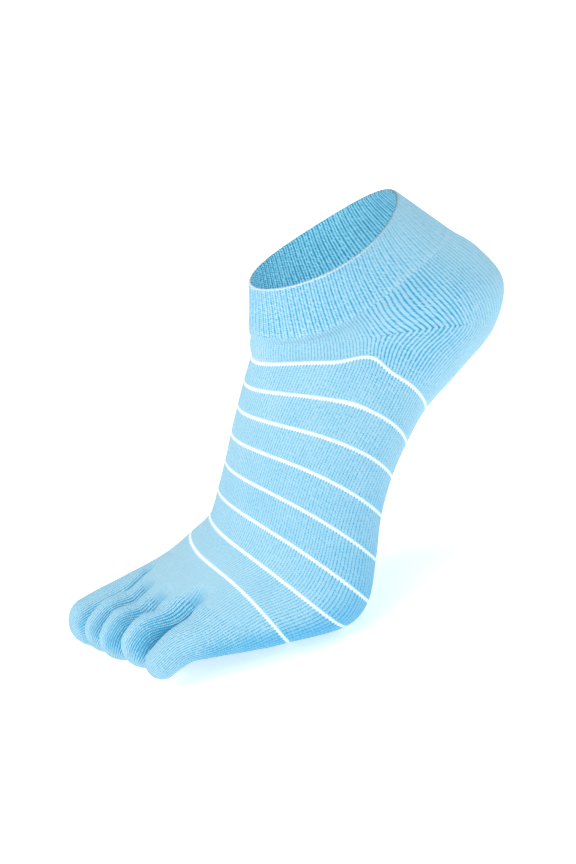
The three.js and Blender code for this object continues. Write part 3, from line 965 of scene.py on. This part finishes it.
# Noise between 0 and 1 at a place, with a given scale and detail.
def noise(tree, place, scale, detail):
    node = tree.nodes.new("ShaderNodeTexNoise")
    tree.links.new(place, node.inputs["Vector"])
    node.inputs["Scale"].default_value = scale
    node.inputs["Detail"].default_value = detail
    return node.outputs["Fac"]


# Smooth share from 0 to 1 as a value goes from low to high.
def ramp(tree, value, low, high):
    node = tree.nodes.new("ShaderNodeMapRange")
    node.interpolation_type = "SMOOTHSTEP"
    tree.links.new(value, node.inputs["Value"])
    node.inputs["From Min"].default_value = low
    node.inputs["From Max"].default_value = high
    return node.outputs["Result"]


# The V stitches. Noises are given by scale and detail, depths and shades by their share.
stitch = {
    "driftNoise": (0.35, 2.0),
    "drift": 0.30,
    "slant": 0.55,
    "betweenPower": 2.5,
    "middlePower": 6.0,
    "grooveDepth": 0.8,
    "betweenDepth": 0.35,
    "middleDepth": 0.25,
    "fibreNoise": (2600.0, 3.0),
    "fibreDepth": 0.35,
    "grooveShade": 0.75,
    "middleShade": 0.12,
    "ribShade": 0.10,
    "ribDepth": 0.2,
    "unevenNoise": (0.9, 1.0),
    "uneven": 2.0,
    "unevenLess": 0.15,
    "blotchNoise": (90.0, 3.0),
    "blotchShade": 0.25,
}

# Colours and finish of the yarn. rim and seam say, in millimetres from the cuff's edge and from its
# seam, where the paler band is not there and where it is full. Some values are painted light and
# shade: how much paler the painted light makes the cloth, the painted shade of under sides and
# folds, and the painted glow of the inside.
look = {
    "yarn": (0.39, 0.62, 0.74, 1),
    "deep": (0.025, 0.34, 0.60, 1),
    "white": (0.93, 0.95, 0.97, 1),
    "inner": (0.31, 0.68, 0.82, 1),
    "innerDeep": (0.03, 0.26, 0.42, 1),
    "hole": (0.03, 0.28, 0.50, 1),
    "paintedLightShare": 0.7,
    "underShade": 0.60,
    "creaseShade": 0.55,
    "innerShade": 1.5,
    "rim": (1.0, 0.4),
    "rimWhite": 0.5,
    "seam": (2.6, 1.2),
    "seamWhite": 0.06,
    "bump": 0.00025,
    "roughness": 0.92,
    "sheen": 0.20,
    "sheenRoughness": 0.5,
    "specular": 0.2,
    "glow": 0.44,
}


# Twice the distance of a value's fraction from one half.
def zigzag(tree, value):
    fraction = calc(tree, "SUBTRACT", calc(tree, "FRACT", value), 0.5)
    return calc(tree, "MULTIPLY", calc(tree, "ABSOLUTE", fraction), 2.0)


# Shade, height and groove distance of the stitches, u one wale and v one course. A wale is a
# column of V stitches: side = 2 |fract(u) - 1/2| is 1 in the groove between wales, and the legs of
# the V repeat with fract(v + slant side). Yarn is darker in the grooves and between the legs. The
# shade is then set by the kind of cloth: (shade - mean) contrast + level.
def stitchPattern(tree, options):
    coordinates = tree.nodes.new("ShaderNodeUVMap")
    coordinates.uv_map = "knit"
    place = coordinates.outputs["UV"]
    position = tree.nodes.new("ShaderNodeTexCoord").outputs["Object"]
    separate = tree.nodes.new("ShaderNodeSeparateXYZ")
    tree.links.new(place, separate.inputs[0])
    wale, course = separate.outputs[0], separate.outputs[1]

    def kindValue(key):
        if not options.get("hasFirm"):
            return options[key]
        change = calc(tree, "MULTIPLY", fieldOf(tree, "firm"), firmKnit[key] - options[key])
        return calc(tree, "ADD", change, options[key])

    drift = calc(tree, "SUBTRACT", noise(tree, place, *stitch["driftNoise"]), 0.5)
    side = zigzag(tree, calc(tree, "ADD", wale, calc(tree, "MULTIPLY", drift, stitch["drift"])))
    leg = zigzag(tree, calc(tree, "ADD", course, calc(tree, "MULTIPLY", side, stitch["slant"])))
    groove = calc(tree, "POWER", side, kindValue("groovePower"))
    between = calc(tree, "POWER", leg, stitch["betweenPower"])
    middle = calc(tree, "POWER", calc(tree, "SUBTRACT", 1.0, side), stitch["middlePower"])
    height = 1.0
    for part, key in ((groove, "grooveDepth"), (between, "betweenDepth"), (middle, "middleDepth")):
        height = calc(tree, "SUBTRACT", height, calc(tree, "MULTIPLY", part, stitch[key]))
    fibre = noise(tree, position, *stitch["fibreNoise"])
    height = calc(tree, "ADD", height, calc(tree, "MULTIPLY", fibre, stitch["fibreDepth"]))
    dark = calc(tree, "ADD", calc(tree, "MULTIPLY", groove, stitch["grooveShade"]),
                calc(tree, "MULTIPLY", between, options["legShade"]))
    dark = calc(tree, "ADD", dark, calc(tree, "MULTIPLY", middle, stitch["middleShade"]))
    if options.get("isRib"):
        rib = calc(tree, "COSINE", calc(tree, "MULTIPLY", wale, math.pi))
        dark = calc(tree, "SUBTRACT", dark, calc(tree, "MULTIPLY", rib, stitch["ribShade"]))
        height = calc(tree, "ADD", height, calc(tree, "MULTIPLY", rib, stitch["ribDepth"]))
    uneven = calc(tree, "MULTIPLY", noise(tree, place, *stitch["unevenNoise"]), stitch["uneven"])
    dark = calc(tree, "MULTIPLY", dark, calc(tree, "SUBTRACT", uneven, stitch["unevenLess"]))
    blotch = calc(tree, "SUBTRACT", 0.5, noise(tree, position, *stitch["blotchNoise"]))
    dark = calc(tree, "ADD", dark, calc(tree, "MULTIPLY", blotch, stitch["blotchShade"]))
    dark = calc(tree, "SUBTRACT", dark, kindValue("mean"))
    dark = calc(tree, "ADD", calc(tree, "MULTIPLY", dark, kindValue("contrast")),
                kindValue("level"))
    return dark, height, side


# The line where the heel turns: a row of holes a step apart, each round by a cosine, between the
# line's start and end. Gives the new colour and height.
def addHeelLine(tree, colour, height):
    away = calc(tree, "ABSOLUTE", fieldOf(tree, "goreAway"))
    along = fieldOf(tree, "goreAlong")
    beat = calc(tree, "COSINE", calc(tree, "MULTIPLY", along, 2 * math.pi / heel["holeStep"]))
    hole = ramp(tree, away, *heel["hole"])
    for value, key in ((beat, "beat"), (along, "lineStart"), (along, "lineEnd")):
        hole = calc(tree, "MULTIPLY", hole, ramp(tree, value, *heel[key]))
    colour = mixed(tree, calc(tree, "MULTIPLY", hole, heel["holeShade"]), colour, look["hole"])
    return colour, calc(tree, "SUBTRACT", height, hole)


# The cuff's pale rim, less pale where light is painted, and the slightly paler band at its seam.
def addRim(tree, colour, shadeKept):
    rim = calc(tree, "MULTIPLY", ramp(tree, fieldOf(tree, "rim"), *look["rim"]),
               calc(tree, "MULTIPLY", shadeKept, look["rimWhite"]))
    colour = mixed(tree, rim, colour, look["white"])
    seam = ramp(tree, fieldOf(tree, "seam"), *look["seam"])
    return mixed(tree, calc(tree, "MULTIPLY", seam, look["seamWhite"]), colour, look["white"])


# The white stripes: bands of half a width each side of a stripe's section number, whose edges go
# in and out with the stitches.
def addStripes(tree, colour, dark, side):
    section = fieldOf(tree, "section")
    number = calc(tree, "MAXIMUM", section, float(stripeStations[0]))
    number = calc(tree, "MINIMUM", number, float(stripeStations[-1]))
    gap = calc(tree, "SUBTRACT", section, calc(tree, "ROUND", number))
    gap = calc(tree, "MULTIPLY", gap, fieldOf(tree, "sectionLength"))
    saw = calc(tree, "MULTIPLY", calc(tree, "SUBTRACT", side, 0.5), stripe["tooth"])
    gap = calc(tree, "ABSOLUTE", calc(tree, "ADD", gap, saw))
    band = ramp(tree, gap, stripe["half"] + stripe["soft"], stripe["half"] - stripe["soft"])
    shaded = calc(tree, "MULTIPLY", dark, stripe["shade"])
    return mixed(tree, band, colour, mixed(tree, shaded, look["white"], look["yarn"]))


# Knitted cloth: the yarn's colour goes to the deep one by the shade, which is less where light is
# painted and more where shade is painted on under sides and in folds. The inside has its own
# colours and a painted glow as emission, strongest near the ankle opening.
def knitMaterial(name, options):
    material = bpy.data.materials.new(name)
    material.use_nodes = True
    tree = material.node_tree
    shader = tree.nodes["Principled BSDF"]
    dark, height, side = stitchPattern(tree, options)
    innerDark = calc(tree, "MULTIPLY", dark, look["innerShade"], isHeld=True)
    # Painted light: the cloth gets less stitch shade where light is painted.
    if options.get("hasPaintedLight"):
        shadeKept = calc(tree, "MULTIPLY", fieldOf(tree, "paintedLight"), look["paintedLightShare"])
        shadeKept = calc(tree, "SUBTRACT", 1.0, shadeKept)
        dark = calc(tree, "MULTIPLY", dark, shadeKept)
    # Painted shade on the sides that face down.
    if options.get("hasPaintedUnderShade"):
        under = calc(tree, "MULTIPLY", fieldOf(tree, "under"), look["underShade"])
        dark = calc(tree, "ADD", dark, under)
    # Painted shade in the folds: darker and nearer the deep colour.
    if options.get("hasPaintedCreaseShade"):
        paintedCreaseShade = fieldOf(tree, "paintedCreaseShade")
        dark = calc(tree, "MULTIPLY", dark, calc(tree, "ADD", 1.0, paintedCreaseShade))
        dark = calc(tree, "ADD", dark, calc(tree, "MULTIPLY", paintedCreaseShade, look["creaseShade"]))
    dark = calc(tree, "MULTIPLY", dark, 1.0, isHeld=True)
    colour = mixed(tree, dark, look["yarn"], look["deep"])
    if options.get("hasGore"):
        colour, height = addHeelLine(tree, colour, height)
    if options.get("isRib"):
        colour = addRim(tree, colour, shadeKept)
    if options.get("hasStripes"):
        colour = addStripes(tree, colour, dark, side)
    inner = mixed(tree, innerDark, look["inner"], look["innerDeep"])
    # Painted glow of the inside, given as emission.
    inside = fieldOf(tree, "inside")
    glow = calc(tree, "MULTIPLY", calc(tree, "MULTIPLY", inside, fieldOf(tree, "glow")),
                look["glow"])
    bump = tree.nodes.new("ShaderNodeBump")
    bump.inputs["Distance"].default_value = look["bump"]
    tree.links.new(height, bump.inputs["Height"])
    tree.links.new(bump.outputs["Normal"], shader.inputs["Normal"])
    tree.links.new(mixed(tree, inside, colour, inner), shader.inputs["Base Color"])
    tree.links.new(inner, shader.inputs["Emission Color"])
    tree.links.new(glow, shader.inputs["Emission Strength"])
    material.cycles.emission_sampling = "NONE"
    shader.inputs["Roughness"].default_value = look["roughness"]
    shader.inputs["Sheen Weight"].default_value = look["sheen"]
    shader.inputs["Sheen Roughness"].default_value = look["sheenRoughness"]
    shader.inputs["Specular IOR Level"].default_value = look["specular"]
    return material


# How each kind of cloth differs: sharpness of the grooves, shade between the legs of the stitches,
# the shade's mean, its contrast around that mean, and the level that the mean is moved to. The
# tube and the heel change into firmKnit around the heel.
firmKnit = {"groovePower": 1.8, "mean": 0.31, "contrast": 2.3, "level": 0.40}
knitKinds = {
    "tube": {"hasStripes": True, "hasGore": True, "hasPaintedLight": True, "hasPaintedCreaseShade": True,
             "hasPaintedUnderShade": True, "hasFirm": True,
             "groovePower": 3.0, "legShade": 0.3, "mean": 0.25, "contrast": 1.2, "level": 0.26},
    "cuff": {"isRib": True, "hasPaintedLight": True,
             "groovePower": 1.5, "legShade": 0.6, "mean": 0.41, "contrast": 2.8, "level": 0.38},
    "heel": {"hasGore": True, "hasPaintedLight": True, "hasFirm": True,
             "groovePower": 3.0, "legShade": 0.3, "mean": 0.25, "contrast": 1.2, "level": 0.26},
    "toe": {"hasPaintedCreaseShade": True, "hasPaintedUnderShade": True,
            "groovePower": 2.0, "legShade": 0.3, "mean": 0.30, "contrast": 1.9, "level": 0.18},
}
print("knitting the materials")
materials = {kind: knitMaterial(kind + "Knit", options) for kind, options in knitKinds.items()}
cuff.data.materials.append(materials["cuff"])
footTube.data.materials.append(materials["tube"])
heelPocket.data.materials.append(materials["heel"])
for piece in toes:
    piece.data.materials.append(materials["toe"])

bpy.context.scene.view_settings.view_transform = "Standard"
